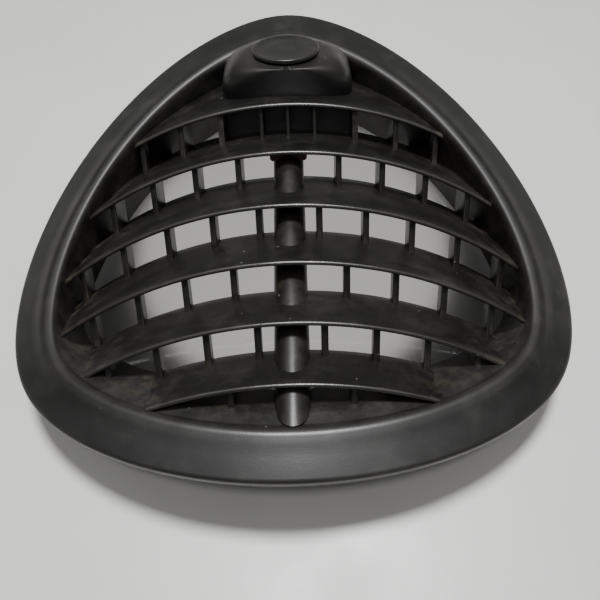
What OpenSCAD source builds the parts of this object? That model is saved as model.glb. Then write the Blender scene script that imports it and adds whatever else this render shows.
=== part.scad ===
// Air-outlet diffuser grille: a rounded-triangle bezel around six bowed louvres that are
// braced by staggered webs and a central spine, with a raised boss and a blanking cap.
// X is to the right, Y runs up the face and Z comes out of the face.
// The origin is at the middle of the bezel's outline, at the height of the leg tips.

/* [Face outline] */
// Width of the bezel
face_w = 194; // [162:0.5:234]
// Height of the bezel, measured up the face
face_h = 208; // [190:0.5:253]
// How far the outline is pulled toward a point at the top
face_point = 7.4; // [0:0.1:9]
// Height of the middle louvre's front edge above the leg tips
face_level = 48; // [44:1:60]

// Distance of the middle louvre's front edge below the outline's middle
louvre_shift = 37.4; // [30:0.2:42]

/* [Flange] */
// Flange width at the sides
flange_side = 14; // [12:0.5:18]
// Flange width at the bottom
flange_bottom = 13.3; // [12:0.1:17]
// Flange width at the top
flange_top = 19; // [16:0.5:26]
// Fall of the flange from the crest to the outer edge
flange_drop = 4; // [1:0.5:8]
// Thickness of the flange
flange_t = 2.2; // [1.6:0.1:3.2]
// Height of the turned-down lip at the outer edge
lip_h = 1.2; // [1:0.1:5]
// Depth of the crest's middle below the middle louvre
crest_depth = 6.9; // [3:0.1:9]
// Extra fall of the crest at the sides of the face
crown_drop = 10; // [0:0.5:12]
// Rounding of the crest
crest_r = 3; // [2:0.1:4.5]
// Thickness of the inner wall
wall_t = 2.2; // [1.6:0.1:3.2]
// Depth of the inner wall at the bottom
wall_low = 10; // [8:0.5:16]
// Depth of the inner wall at the top
wall_high = 37; // [28:0.5:40]

/* [Louvres] */
// Distance between neighbouring louvres, square to their surfaces
louvre_gap = 13; // [12:0.1:14]
// Louvre thickness
louvre_t = 1.6; // [1.2:0.1:2.4]
// Angle between the louvres and the base plane
slat_angle = 34; // [30:0.5:38]
// Angle between the top louvre and the base plane
deck_angle = 23; // [22:0.5:30]
// Radius of the louvres' bow
bow_r = 138; // [125:1:180]
// Depth of the lowest louvre from front to rear
louvre_depth_low = 21; // [16:0.5:26]
// Depth of the second louvre from front to rear
louvre_depth_high = 48; // [40:0.5:52]
// Fall of the outer louvres' front edges from a flat face
face_bulge = 4.2; // [0:0.1:6]

/* [Webs and spine] */
// Distance between neighbouring webs in a row
web_pitch = 16; // [14:0.5:18]
// Web thickness
web_t = 2.2; // [1.4:0.1:3]
// Thickness of the three ribs in the boss box
rib_t = 1.4; // [1:0.1:2]
// Setback of the webs behind the louvre above them
web_setback = 1.5; // [0.5:0.1:4]
// How deep the webs and louvres are seated in their neighbours
seat = 0.1; // [0.05:0.05:0.4]
// Width of the spine
spine_w = 11.2; // [8:0.2:13]
// Depth of the spine's crown below the middle louvre's front edge
spine_depth = 7.3; // [5:0.1:10]
// Height of the spine
spine_h = 13; // [10:0.5:16]

/* [Boss and cap] */
// Width of the boss
boss_w = 53; // [44:0.5:56]
// Distance of the boss behind the top louvre's front edge
boss_setback = 9.5; // [6:0.5:14]
// Height of the boss's front above the top louvre
boss_rise = 15.2; // [12:0.1:18]
// Height of the boss's rounded shoulder
shoulder_h = 12.5; // [8:0.5:13]
// Wall of the boss
boss_wall = 2.2; // [1.6:0.1:3]
// Depth of the box below the boss
box_depth = 17.5; // [12:0.5:24]
// Diameter of the cap
cap_d = 26.5; // [22:0.5:30]
// Thickness of the cap
cap_t = 1.6; // [1.2:0.1:2.4]
// Gap between the cap and the boss
cap_gap = 0.8; // [0.3:0.1:1.5]
// Backward tilt of the cap
cap_tilt = 17; // [12:0.5:20]
// Diameter of the cap's stem
stem_d = 10; // [8:0.5:14]
// Radial clearance of the stem in its bore
stem_clear = 0.05; // [0.02:0.01:0.09]
// Length of the stem below the boss's top
stem_l = 9; // [6:0.5:10]

/* [Fixings] */
// Width of a mounting leg
leg_w = 10; // [8:0.5:12]
// Thickness of a mounting leg
leg_t = 2.6; // [2:0.1:3.2]
// Strip thickness of a spring clip
clip_t = 0.6; // [0.4:0.1:0.8]
// Diameter of a locating pin
pin_d = 5; // [4:0.5:6]
// Length of a locating pin below its root
pin_l = 9; // [6:0.5:12]
// Width of the sealing strip
seal_w = 4; // [3:0.5:5]
// Thickness of the sealing strip
seal_t = 3; // [2:0.5:4]

/* [Hidden] */
black = [0.075, 0.073, 0.07];
red_brown = [0.33, 0.12, 0.1];
steel = [0.6, 0.61, 0.62];
foam = [0.12, 0.12, 0.125];

// Directions: along a louvre to the rear, and square to it
along = cos(slat_angle);
square_to = sin(slat_angle);
mid_louvre = 4;
last_louvre = 6;
function at(xy, z) = [xy[0], xy[1], z];
function mix(a, b, t) = a * (1 - t) + b * t;

// An outline is given by its distance from the middle in each direction a, from the top:
// half its size plus a three-cornered term, so that an inset gives a parallel outline
function reach(w, h, p, a) =
    (w + h) / 4 + (h - w) / 4 * cos(2 * a) + p * (cos(3 * a) - cos(a));
function reach_slope(w, h, p, a) =
    -(h - w) / 2 * sin(2 * a) - p * (3 * sin(3 * a) - sin(a));
function outline(w, h, p, a) =
    let (r = reach(w, h, p, a), s = reach_slope(w, h, p, a))
    [r * sin(a) + s * cos(a), r * cos(a) - s * sin(a)];

crest_w = face_w - 2 * flange_side;
crest_h = face_h - flange_top - flange_bottom;
crest_shift = (flange_bottom - flange_top) / 2;
function edge(a, inset = 0) = outline(face_w - 2 * inset, face_h - 2 * inset, face_point, a);
function crest(a, inset = 0) =
    outline(crest_w - 2 * inset, crest_h - 2 * inset, face_point, a) + [0, crest_shift];
function crest_z(x) =
    face_level - crest_depth - crown_drop * pow(x / (crest_w / 2), 2);
function edge_z(x) = crest_z(x) - flange_drop;

// The inner wall goes straight down, and leans along the louvres where it nears the bottom
lean_from = -face_h * 0.1;
lean_full = -face_h * 0.42;
function lean(y) = min(1, max(0, (lean_from - y) / (lean_from - lean_full)));
function wall_point(c, drop) =
    [c[0], c[1] + lean(c[1]) * drop * along / square_to, crest_z(c[0]) - drop];
function wall_drop(a) = mix(wall_low, wall_high, pow((1 + cos(a)) / 2, 0.7));

// Tables of the wall's line: its half width by height, and its top and bottom by x
ring_steps = 96;
step_a = 360 / ring_steps;
wall_seat = crest_r - wall_t * 0.6;
side_table = [for (i = [0 : ring_steps / 2]) let (c = crest(180 - i * step_a, wall_seat))
    [c[1], c[0]]];
top_table = [for (i = [0 : ring_steps / 4]) crest(i * step_a, wall_seat)];
low_table = [for (i = [0 : ring_steps / 4]) let (c = crest(180 - i * step_a, wall_seat))
    [c[0], square_height([c[0], c[1], crest_z(c[0])])]];
function unlean(y, drop, c, n = 12) =
    n == 0 ? c
    : unlean(y, drop, (c + y - lean(c) * drop * along / square_to) / 2, n - 1);

// A point in louvre terms: x across, v square to the louvres and w forward along them
function placed(x, v, w) = [
    x,
    -louvre_shift + v * square_to - w * along,
    face_level + v * along + w * square_to
];
function square_height(p) =
    (p[1] + louvre_shift) * square_to + (p[2] - face_level) * along;
module in_louvre_terms()
    translate([0, -louvre_shift, face_level]) rotate([90 - slat_angle, 0, 0]) children();

// Louvres: their height, front edge, rear edge and half width
bulge_peak = 5;
bulge_span = 31;
deck_slope = tan(slat_angle - deck_angle);
function sag(x) = bow_r - sqrt(bow_r * bow_r - x * x);
function louvre_v(i) = louvre_gap * (mid_louvre - i);
function louvre_front(i) =
    let (v = louvre_v(i))
    (-face_bulge * pow((v - bulge_peak) / bulge_span, 2) - v * along) / square_to;
function louvre_depth(i) =
    mix(louvre_depth_low, louvre_depth_high, pow((last_louvre - i) / 4, 1.6));
function louvre_height(i, x, w) =
    louvre_v(i) - sag(x) + (i == 1 ? (louvre_front(1) - w) * deck_slope : 0);
least_deck = 2;
function deck_rear(x) =
    let (front = placed(x, louvre_v(1) - sag(x), louvre_front(1))[1])
    louvre_front(1) - max(least_deck, lookup(abs(x), top_table) - front)
        / (along + deck_slope * square_to);
function louvre_rear(i, x) = i == 1 ? deck_rear(x) : louvre_front(i) - louvre_depth(i);
function half_width(i, w, low = 5, high = face_w / 2, n = 16) =
    let (
        x = (low + high) / 2,
        p = placed(x, louvre_height(i, x, w), w),
        y = unlean(p[1], max(0, crest_z(x) - p[2] - crest_r), p[1]),
        inside = lookup(y, side_table) > x
    )
    n == 0 ? x : half_width(i, w, inside ? x : low, inside ? high : x, n - 1);
front_half = [for (i = [1 : last_louvre]) half_width(i, louvre_front(i))];
rear_half = [for (i = [1 : last_louvre])
    i == 1 ? front_half[0] : half_width(i, louvre_rear(i, 0))];

// The boss stands on the top louvre, and the cap's plane is worked out from its front
deck_run = cos(deck_angle);
boss_front = placed(0, louvre_v(1), louvre_front(1))
    + boss_setback * [0, deck_run, -sin(deck_angle)];
boss_back = crest(0, crest_r)[1];
cap_lip = 3;
cap_centre = [
    0,
    boss_front[1] + cap_lip + cap_d / 2 * cos(cap_tilt),
    boss_front[2] + boss_rise - cap_lip + 1 - cap_d / 2 * sin(cap_tilt)
];
module in_cap_terms() translate(cap_centre) rotate([-cap_tilt, 0, 0]) children();

// The spine is a half-round bar along Y
spine_top = face_level - spine_depth;
first_web = 0.65;
box_x = (1 + first_web) * web_pitch;
rib_x = first_web * web_pitch;
round_steps = 64;

// A solid swept through rows of points, each row one section
function swept_faces(rows, cols, closed) = concat(
    [for (r = [0 : rows - (closed ? 1 : 2)]) for (c = [0 : cols - 1])
        let (a = r * cols + c, b = r * cols + (c + 1) % cols, next = (r + 1) % rows * cols)
        each [[a, next + (c + 1) % cols, b], [a, next + c, next + (c + 1) % cols]]],
    closed ? [] : [[for (c = [0 : cols - 1]) c],
                   [for (c = [cols - 1 : -1 : 0]) (rows - 1) * cols + c]]
);
module swept(sections, closed = false)
    polyhedron(
        [for (s = sections) each s],
        swept_faces(len(sections), len(sections[0]), closed)
    );

// Bezel: lip, flange, crest and inner wall, swept round the outline
edge_round = 0.8;
flange_hollow = 0.2;
crest_fall = 0.6;
trough_depth = 2.5;
function bezel_section(a) =
    let (
        o = edge(a),
        c = crest(a),
        top = edge_z(o[0]),
        high = crest_z(c[0]),
        skirt = edge(a, flange_t),
        near = crest(a, -crest_r * 0.7),
        roll_1 = crest(a, crest_r * 0.6),
        roll_2 = crest(a, crest_r * 0.9)
    )
    [
        at(o, top - flange_t - lip_h),
        at(o, top - edge_round),
        at(edge(a, edge_round), top),
        at(mix(o, c, 0.6), mix(top, high, 0.6) - flange_hollow),
        at(near, high - crest_fall),
        at(c, high),
        at(roll_1, crest_z(roll_1[0]) - crest_r * 0.2),
        at(roll_2, crest_z(roll_2[0]) - crest_r * 0.6),
        wall_point(crest(a, crest_r), crest_r * 1.2),
        wall_point(crest(a, crest_r), wall_drop(a)),
        wall_point(crest(a, crest_r - wall_t), wall_drop(a)),
        wall_point(crest(a, crest_r - wall_t), flange_t + trough_depth),
        at(skirt, top - flange_t),
        at(skirt, top - flange_t - lip_h)
    ];
module bezel()
    color(black) swept([for (i = [0 : ring_steps - 1]) bezel_section(i * step_a)], true);

// A louvre: a bowed slat with a round nose, cut out where the spine passes through it
louvre_steps = 36;
function louvre_point(i, t, forward, off) =
    let (
        rear_x = t * rear_half[i - 1],
        front_x = t * front_half[i - 1],
        back = louvre_rear(i, front_x),
        x = mix(rear_x, front_x, forward),
        w = mix(back, louvre_front(i), forward),
        a = asin(x / bow_r)
    )
    placed(x + off * sin(a), louvre_height(i, x, w) + off * cos(a), w);
function louvre_section(i, t) =
    let (
        h = louvre_t / 2,
        run = louvre_front(i) - louvre_rear(i, t * front_half[i - 1]),
        nose = 1 - louvre_t / run / 2,
        tip = 1 - louvre_t / run / 8
    )
    [
        louvre_point(i, t, 0, h), louvre_point(i, t, nose, h),
        louvre_point(i, t, tip, h * 0.6), louvre_point(i, t, 1, 0),
        louvre_point(i, t, tip, -h * 0.6), louvre_point(i, t, nose, -h),
        louvre_point(i, t, 0, -h)
    ];
module slat(i)
    swept([for (k = [0 : louvre_steps]) louvre_section(i, 1 - 2 * k / louvre_steps)]);
module louvre(i)
    color(black) difference() {
        slat(i);
        if (i > 2) spine_bar();
    }

// A plate between two louvres, from x_0 to x_1 and from w_rear to w_front
function plate_low(r, x) =
    max(r == last_louvre ? -1000 : louvre_v(r + 1) - sag(x) + louvre_t / 2,
        lookup(abs(x), low_table)) - seat;
function plate_high(r, x, w) = louvre_height(r, x, w) - louvre_t / 2 + seat;
function plate_section(r, x, w_rear, w_front) = [
    placed(x, plate_low(r, x), w_rear), placed(x, plate_low(r, x), w_front),
    placed(x, plate_high(r, x, w_front), w_front), placed(x, plate_high(r, x, w_rear), w_rear)
];
module plate(r, x_0, x_1, w_rear, w_front)
    swept([for (x = [x_0, x_1]) plate_section(r, x, w_rear, w_front)]);
function web_front(r) = louvre_front(r) - web_setback;
function wall_reach(r, x) =
    ((louvre_v(r + 1) - sag(x)) * square_to - louvre_shift - lookup(abs(x), top_table)) / along;
function web_rear(r, x) = r == last_louvre ? web_front(r) - wall_low
    : max(louvre_front(r + 1) - louvre_depth(r + 1), wall_reach(r, abs(x) + web_t / 2));
module web(r, x)
    plate(r, x - web_t / 2, x + web_t / 2, web_rear(r, x), web_front(r));

// Webs stand in staggered rows; the first two places of the top row belong to the boss box
least_web = 3;
function web_places(r) = [
    for (n = [(r == 1 ? 2 : 0) : 6])
        let (x = (n + first_web + (r % 2 == 1 ? 0 : 0.5)) * web_pitch)
        if (x < front_half[r - 1] - web_t / 4
            && plate_high(r, x, web_front(r)) - plate_low(r, x) > least_web) x
];
module webs_row(r)
    color(black) for (x = web_places(r), side = [-1, 1]) web(r, side * x);

module spine_bar()
    translate([0, 0, spine_top - spine_w / 2]) {
        rotate([90, 0, 0]) cylinder(h = 2 * face_h, d = spine_w, center = true, $fn = round_steps);
        translate([-spine_w / 2, -face_h, spine_w / 2 - spine_h])
            cube([spine_w, 2 * face_h, spine_h - spine_w / 2]);
    }
module spine() {
    low = low_table[0][1] - seat;
    high = louvre_v(2) - louvre_t / 2 + seat;
    color(black) intersection() {
        spine_bar();
        in_louvre_terms() translate([-spine_w, low, -face_h])
            cube([2 * spine_w, high - low, 2 * face_h]);
    }
}
// A small saddle of another plastic, clipped over the upper end of the spine
module spine_clip() {
    long = 14;
    deep = 5;
    tall = 3.5;
    behind = 9;
    low = louvre_v(2) - louvre_t / 2 - tall;
    color(red_brown) difference() {
        in_louvre_terms() translate([0, low, louvre_front(2) - behind])
            rotate([-90, 0, 0]) intersection() {
                cylinder(h = tall, d = long, $fn = round_steps);
                translate([-long / 2, -deep / 2, 0]) cube([long, deep, tall]);
            }
        spine_bar();
    }
}

// Boss: a hollow shell on the top louvre, swept round from its foot to the socket's hole
rim_r = cap_d / 2 + 3;
socket_r = stem_d / 2 + 2.5;
foot_roundness = 0.42;
function squared(t) = sign(t) * pow(abs(t), foot_roundness);
function boss_foot(a, inset) =
    let (
        x = (boss_w / 2 - inset) * squared(sin(a)),
        half = (boss_back - boss_front[1]) / 2,
        y = boss_front[1] + half + (half - inset) * squared(cos(a)),
        wall = lookup(abs(x), top_table) - wall_seat + crest_r + seat
    )
    [x, min(y, wall - inset)];
function on_deck(xy) =
    let (
        v = louvre_v(1) - sag(xy[0]) + louvre_t / 2,
        front = louvre_front(1),
        w = (-louvre_shift + (v + front * deck_slope) * square_to - xy[1])
            / (along + deck_slope * square_to)
    )
    placed(xy[0], v + (front - w) * deck_slope, w) - [0, 0, seat];
function seat_plane(xy, below) =
    at(xy, cap_centre[2] - (cap_gap + below) / cos(cap_tilt)
        - (xy[1] - cap_centre[1]) * tan(cap_tilt));
function round_cap(r, a) = [r * sin(a), cap_centre[1] + r * cos(a) * cos(cap_tilt)];
function shoulder(foot, rim, top, t) =
    seat_plane(mix(foot, rim, 1 - cos(t * 90)), top + shoulder_h * (1 - sin(t * 90)));
function boss_section(a) =
    let (
        foot = boss_foot(a, 0),
        inner = boss_foot(a, boss_wall),
        rim = round_cap(rim_r, a),
        inner_rim = round_cap(rim_r - boss_wall, a),
        hole = round_cap(socket_r - seat, a)
    )
    [
        on_deck(foot),
        for (t = [0 : 0.2 : 1]) shoulder(foot, rim, 0, t),
        seat_plane(hole, 0),
        seat_plane(hole, boss_wall),
        for (t = [1 : -0.5 : 0]) shoulder(inner, inner_rim, boss_wall, t),
        on_deck(inner)
    ];
boss_steps = 64;
module boss()
    color(black) swept([for (i = [0 : boss_steps - 1]) boss_section(i * 360 / boss_steps)], true);

// The bush in the boss's hole, which the cap's stem is pushed into
module cap_socket()
    color(black) in_cap_terms() translate([0, 0, -cap_gap - stem_l - 1])
        difference() {
            cylinder(h = stem_l + 1, r = socket_r, $fn = round_steps);
            translate([0, 0, -1])
                cylinder(h = stem_l + 3, d = stem_d + 2 * stem_clear, $fn = round_steps);
        }
// The box below the boss: one wall that runs round three sides, between the top two louvres
box_steps = 12;
function box_section(out, in) = [
    placed(out[0], plate_low(1, out[0]), out[1]), placed(in[0], plate_low(1, in[0]), in[1]),
    placed(in[0], plate_high(1, in[0], in[1]), in[1]),
    placed(out[0], plate_high(1, out[0], out[1]), out[1])
];
module boss_box() {
    front = web_front(1);
    rear = front - box_depth;
    out = box_x + web_t / 2;
    in = box_x - web_t / 2;
    color(black) swept([
        box_section([-out, front], [-in, front]),
        for (k = [0 : box_steps]) let (t = 2 * k / box_steps - 1)
            box_section([t * out, rear], [t * in, rear + web_t]),
        box_section([out, front], [in, front])
    ]);
}
module boss_ribs()
    color(black) for (x = [-rib_x, 0, rib_x])
        plate(1, x - rib_t / 2, x + rib_t / 2, web_front(1) - box_depth + web_t - seat,
            web_front(1));

module cap_disc()
    color(black) in_cap_terms() cylinder(h = cap_t, d = cap_d, $fn = round_steps);
module cap_stem()
    color(black) in_cap_terms() translate([0, 0, -cap_gap - stem_l])
        cylinder(h = stem_l + cap_gap, d = stem_d, $fn = round_steps);

// Fixings stand in a line just outside the inner wall, below the flange
fixing_offset = 3.5;
fixing_depth = 3.8;
leg_angles = [-150, -90, -35, 35, 90, 150];
pin_angles = [-118, 118];
function fixing_place(a) = crest(a, -fixing_offset);
function fixing_top(a) = crest_z(fixing_place(a)[0]) - fixing_depth;
module at_fixing(a) translate(at(fixing_place(a), 0)) rotate([0, 0, -a]) children();
module mounting_legs() {
    barb = 1.6;
    color(black) for (a = leg_angles) at_fixing(a)
        rotate([90, 0, 90]) translate([0, 0, -leg_w / 2]) linear_extrude(leg_w)
            polygon([
                [-leg_t / 2, 0.8], [-leg_t / 2 + 0.8, 0], [leg_t / 2, 0],
                [leg_t / 2 + barb, 4], [leg_t / 2, 5.5],
                [leg_t / 2, fixing_top(a)], [-leg_t / 2, fixing_top(a)]
            ]);
}
// A sprung band round each leg, with one tongue on each face
module spring_clips() {
    band_h = 8;
    band_z = 9;
    tongue = 9;
    splay = 12;
    wide = leg_w + 2 * clip_t;
    deep = leg_t + 2 * clip_t;
    color(steel) for (a = leg_angles) at_fixing(a) translate([0, 0, band_z]) {
        difference() {
            translate([-wide / 2, -deep / 2, 0]) cube([wide, deep, band_h]);
            translate([-leg_w / 2, -leg_t / 2, -1]) cube([leg_w, leg_t, band_h + 2]);
        }
        for (side = [-1, 1])
            translate([-leg_w / 4, side * (deep / 2 - clip_t / 2) - clip_t / 2, 0])
                translate([0, clip_t / 2, 0]) rotate([side * -splay, 0, 0])
                    translate([0, -clip_t / 2, 0.1]) cube([leg_w / 2, clip_t, tongue]);
    }
}
// Each pin's full diameter ends below the sealing strip, and a thinner root joins it to the flange
pin_clear = 0.5;
pin_shoulder = 0.8;
function pin_top(a) = edge_z(edge(a)[0]) - flange_t - seal_t - pin_clear;
module locating_pins()
    color(black) for (a = pin_angles) at_fixing(a) {
        translate([0, 0, pin_top(a) - pin_l]) cylinder(h = pin_l, d = pin_d, $fn = round_steps);
        translate([0, 0, pin_top(a) - 1])
            cylinder(h = fixing_top(a) - pin_top(a) + 1, d = pin_d - 2 * pin_shoulder, $fn = round_steps);
    }

// Foam strip below the flange, inside the lip
seal_gap = 0.3;
function seal_section(a) =
    let (
        out = edge(a, flange_t + seal_gap),
        in = edge(a, flange_t + seal_gap + seal_w),
        top = edge_z(edge(a)[0]) - flange_t
    )
    [at(out, top - seal_t), at(out, top), at(in, top), at(in, top - seal_t)];
module sealing_strip()
    color(foam) swept([for (i = [0 : ring_steps - 1]) seal_section(i * step_a)], true);

bezel();
louvre(1);  // louvre_1
louvre(2);  // louvre_2
louvre(3);  // louvre_3
louvre(4);  // louvre_4
louvre(5);  // louvre_5
louvre(6);  // louvre_6
webs_row(1);  // webs_row_1
webs_row(2);  // webs_row_2
webs_row(3);  // webs_row_3
webs_row(4);  // webs_row_4
webs_row(5);  // webs_row_5
webs_row(6);  // webs_row_6
spine();
spine_clip();
boss();
boss_box();
boss_ribs();
cap_socket();
cap_disc();
cap_stem();
mounting_legs();
spring_clips();
locating_pins();
sealing_strip();
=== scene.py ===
"""Air-outlet diffuser grille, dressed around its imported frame.

The bezel, louvres, webs, spine, boss and cap are surfaces worked out from the sizes in the
property groups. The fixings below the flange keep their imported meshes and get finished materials.
"""

import math

import bpy
import numpy as np
from bpy.props import FloatProperty, FloatVectorProperty, PointerProperty
from mathutils import Matrix, Vector


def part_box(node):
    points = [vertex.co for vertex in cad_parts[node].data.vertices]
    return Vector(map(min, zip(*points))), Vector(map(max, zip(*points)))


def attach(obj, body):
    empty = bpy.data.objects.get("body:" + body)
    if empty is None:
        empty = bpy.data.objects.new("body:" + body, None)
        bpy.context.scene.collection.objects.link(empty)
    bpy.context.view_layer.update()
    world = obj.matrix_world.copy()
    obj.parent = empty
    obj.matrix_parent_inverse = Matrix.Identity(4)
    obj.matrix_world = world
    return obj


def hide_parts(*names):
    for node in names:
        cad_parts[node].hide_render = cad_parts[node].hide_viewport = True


bl_info = {
    "name": "Diffuser Grille",
    "version": (1, 0, 0),
    "blender": (4, 5, 0),
    "location": "View3D > Sidebar > Diffuser",
    "description": "Builds a moulded air diffuser grille around its packed frame",
    "category": "Object",
}

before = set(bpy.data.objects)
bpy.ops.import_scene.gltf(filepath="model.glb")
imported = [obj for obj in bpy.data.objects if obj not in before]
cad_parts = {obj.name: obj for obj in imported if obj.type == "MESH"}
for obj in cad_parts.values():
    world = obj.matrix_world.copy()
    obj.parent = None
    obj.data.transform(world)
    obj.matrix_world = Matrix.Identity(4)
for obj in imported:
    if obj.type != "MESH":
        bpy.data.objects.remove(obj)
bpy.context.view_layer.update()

MM = 0.001
LOUVRES = 6
MIDDLE = 4  # the louvre that the heights are measured from
CORNER = 5  # points that round one corner of a profile
BODY = "grille"
CAP_BODY = "cap"


def length(label, description, default, low=0.0):
    """A size in metres."""
    return FloatProperty(
        name=label, description=description, default=default, min=low,
        precision=5, unit="LENGTH", subtype="DISTANCE",
    )


def angle(label, description, degrees):
    """An angle, kept in radians."""
    return FloatProperty(
        name=label, description=description, default=math.radians(degrees), subtype="ANGLE",
    )


def share(label, description, default):
    """A plain number from 0 to 1."""
    return FloatProperty(
        name=label, description=description, default=default, min=0.0, max=1.0,
        subtype="FACTOR",
    )


def power(label, description, default):
    """A lamp's power in watts."""
    return FloatProperty(name=label, description=description, default=default, min=0.0,
                         unit="POWER")


def colour(label, description, default):
    """A linear colour."""
    return FloatVectorProperty(
        name=label, description=description, default=default, size=3, min=0.0, max=1.0,
        subtype="COLOR",
    )


class BezelSizes(bpy.types.PropertyGroup):
    """The outline, the flange and the inner wall"""

    width: length("Width", "Width of the bezel", 0.194)
    height: length("Height", "Height of the bezel, up the face", 0.208)
    point: length("Point", "How far the outline is pulled to a point at the top", 0.0074)
    level: length("Level", "Height of the middle louvre's front edge", 0.048)
    louvre_shift: length("Louvre shift", "Middle louvre below the outline's middle", 0.0374)
    flange_side: length("Side flange", "Flange width at the sides", 0.014)
    flange_bottom: length("Bottom flange", "Flange width at the bottom", 0.0133)
    flange_top: length("Top flange", "Flange width at the top", 0.019)
    flange_drop: length("Flange fall", "Fall from the crest to the outer edge", 0.004)
    flange_t: length("Flange thickness", "Thickness of the flange", 0.0022)
    lip_h: length("Lip", "Height of the turned-down lip", 0.0012)
    crest_depth: length("Crest depth", "Crest below the middle louvre", 0.0069)
    crown_drop: length("Crown", "Extra fall of the crest at the sides", 0.010)
    crest_r: length("Crest rounding", "Rounding of the crest", 0.003)
    wall_t: length("Wall", "Thickness of the inner wall", 0.0022)
    wall_low: length("Low wall", "Depth of the inner wall at the bottom", 0.010)
    wall_high: length("High wall", "Depth of the inner wall at the top", 0.037)


class LouvreSizes(bpy.types.PropertyGroup):
    """The louvres, the webs between them and the spine"""

    gap: length("Gap", "Distance between neighbouring louvres", 0.013)
    thickness: length("Thickness", "Louvre thickness", 0.0016)
    slat_angle: angle("Louvre angle", "Angle between louvres and base", 34)
    deck_angle: angle("Deck angle", "Angle between the top louvre and the base", 23)
    bow_r: length("Bow", "Radius of the louvres' bow", 0.138)
    depth_low: length("Low depth", "Depth of the lowest louvre", 0.021)
    depth_high: length("High depth", "Depth of the second louvre", 0.048)
    bulge: length("Bulge", "Fall of the outer louvres' front edges", 0.0042)
    web_pitch: length("Web pitch", "Distance between neighbouring webs", 0.016)
    web_t: length("Web", "Web thickness", 0.0022)
    rib_t: length("Rib", "Thickness of the ribs below the boss", 0.0014)
    web_setback: length("Web setback", "Webs behind the louvre above them", 0.0015)
    seat: length("Seat", "How deep pieces are seated in each other", 0.0001)
    spine_w: length("Spine width", "Width of the spine", 0.0112)
    spine_depth: length("Spine depth", "Spine below the middle louvre", 0.0073)
    spine_h: length("Spine height", "Height of the spine", 0.013)


class BossSizes(bpy.types.PropertyGroup):
    """The boss, the box below it and the cap"""

    width: length("Width", "Width of the boss", 0.053)
    setback: length("Setback", "Boss behind the top louvre's front edge", 0.0095)
    rise: length("Rise", "Height of the boss's front above the louvre", 0.0152)
    wall: length("Wall", "Wall of the boss", 0.0022)
    shoulder: length("Shoulder", "Height of the boss's rounded shoulder", 0.0125)
    box_depth: length("Box depth", "Depth of the box below the boss", 0.0175)
    cap_d: length("Cap", "Diameter of the cap", 0.0265)
    cap_t: length("Cap thickness", "Thickness of the cap", 0.0016)
    cap_gap: length("Cap gap", "Gap between the cap and the boss", 0.0008)
    cap_tilt: angle("Cap tilt", "Backward tilt of the cap", 17)
    stem_d: length("Stem", "Diameter of the cap's stem", 0.010)


class FinishColours(bpy.types.PropertyGroup):
    """Colours of the plastics, the wear and the dirt"""

    black: colour("Black plastic", "Moulded black plastic", (0.0085, 0.0082, 0.0078))
    # The worn colour lightens edges: partly real wear, partly a painted highlight on noses, crests,
    # crowns and rims
    worn_and_highlit: colour("Worn edge", "Plastic polished by handling", (0.040, 0.037, 0.033))
    grime: colour("Grime", "Brown dirt in the corners", (0.060, 0.046, 0.031))
    dust: colour("Dust", "Pale dust", (0.42, 0.41, 0.39))
    clip: colour("Clip", "Red-brown plastic", (0.075, 0.016, 0.012))
    steel: colour("Steel", "Bare spring steel", (0.50, 0.50, 0.50))
    foam: colour("Foam", "Closed-cell foam", (0.030, 0.030, 0.032))
    table: colour("Table", "Pale table top", (0.66, 0.65, 0.635))
    # This share sets both the edge wear and the painted highlight on the edges
    wear_and_highlight: share("Wear", "How much the edges are worn", 0.55)
    dustiness: share("Dustiness", "How much dust lies on the plastic", 0.35)


class StudioSizes(bpy.types.PropertyGroup):
    """The camera and the lights"""

    lens: FloatProperty(name="Lens", description="Focal length in millimetres",
                        default=39.0, min=10.0)
    camera_x: length("Camera sideways", "Camera's distance right of the middle", 0.00467)
    camera_y: length("Camera forward", "Camera's distance in front of the middle", 0.15356)
    camera_z: length("Camera height", "Camera's height above the table", 0.21887)
    elevation: angle("Elevation", "Downward angle of the camera", 59)
    turn: angle("Turn", "Sideways turn of the camera", 0.47)
    roll: angle("Roll", "Turn of the camera about its own axis", -1.78)
    key: power("Key light", "Power of the overhead light", 12.5)
    front: power("Front light", "Power of the light over the front", 1.3)
    through: power("Light through", "Power of the light below the louvres", 0.032)
    sky: share("Ceiling", "Strength of the ceiling's reflection", 1.0)
    walls: share("Walls", "Strength of the walls' reflection", 0.10)
    fill: share("Room light", "Strength of the light from all round", 0.11)


# Shapes ------------------------------------------------------------------------------------


def mix(a, b, t):
    """The value a share t of the way from a to b."""
    return a * (1 - t) + b * t


def points(x, y, z):
    """One array of points from three arrays of coordinates that fit each other."""
    return np.stack(np.broadcast_arrays(x, y, z), axis=-1)


def bump(n=CORNER):
    """0 at both ends of a rounded corner and 1 in its middle, as half a sine wave."""
    return np.sin(np.linspace(0, math.pi, n))


def softened(profiles, cuts, n=CORNER):
    """Rounds every corner of closed profiles, given as (rows, corners, 3).

    Each corner is replaced by the parabola that leaves the side before it at the cut's
    distance, heads for the corner, and meets the side after it at the same distance.
    A cut is held to just under half of the shorter side.
    """
    back = np.roll(profiles, 1, axis=1) - profiles
    ahead = np.roll(profiles, -1, axis=1) - profiles
    back_l = np.maximum(np.linalg.norm(back, axis=-1), 1e-9)
    ahead_l = np.maximum(np.linalg.norm(ahead, axis=-1), 1e-9)
    cut = np.minimum(np.asarray(cuts, float), 0.48 * np.minimum(back_l, ahead_l))
    start = profiles + back * (cut / back_l)[..., None]
    end = profiles + ahead * (cut / ahead_l)[..., None]
    t = np.linspace(0, 1, n)[:, None]
    curve = (
        (1 - t) ** 2 * start[:, :, None]
        + 2 * t * (1 - t) * profiles[:, :, None]
        + t**2 * end[:, :, None]
    )
    return curve.reshape(len(profiles), -1, 3)


def corner_mask(marks, rows, n=CORNER):
    """A mask for softened profiles: each corner's mark in its middle, 0 on the flats."""
    return np.tile((np.asarray(marks, float)[:, None] * bump(n)).ravel(), (rows, 1))


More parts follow.
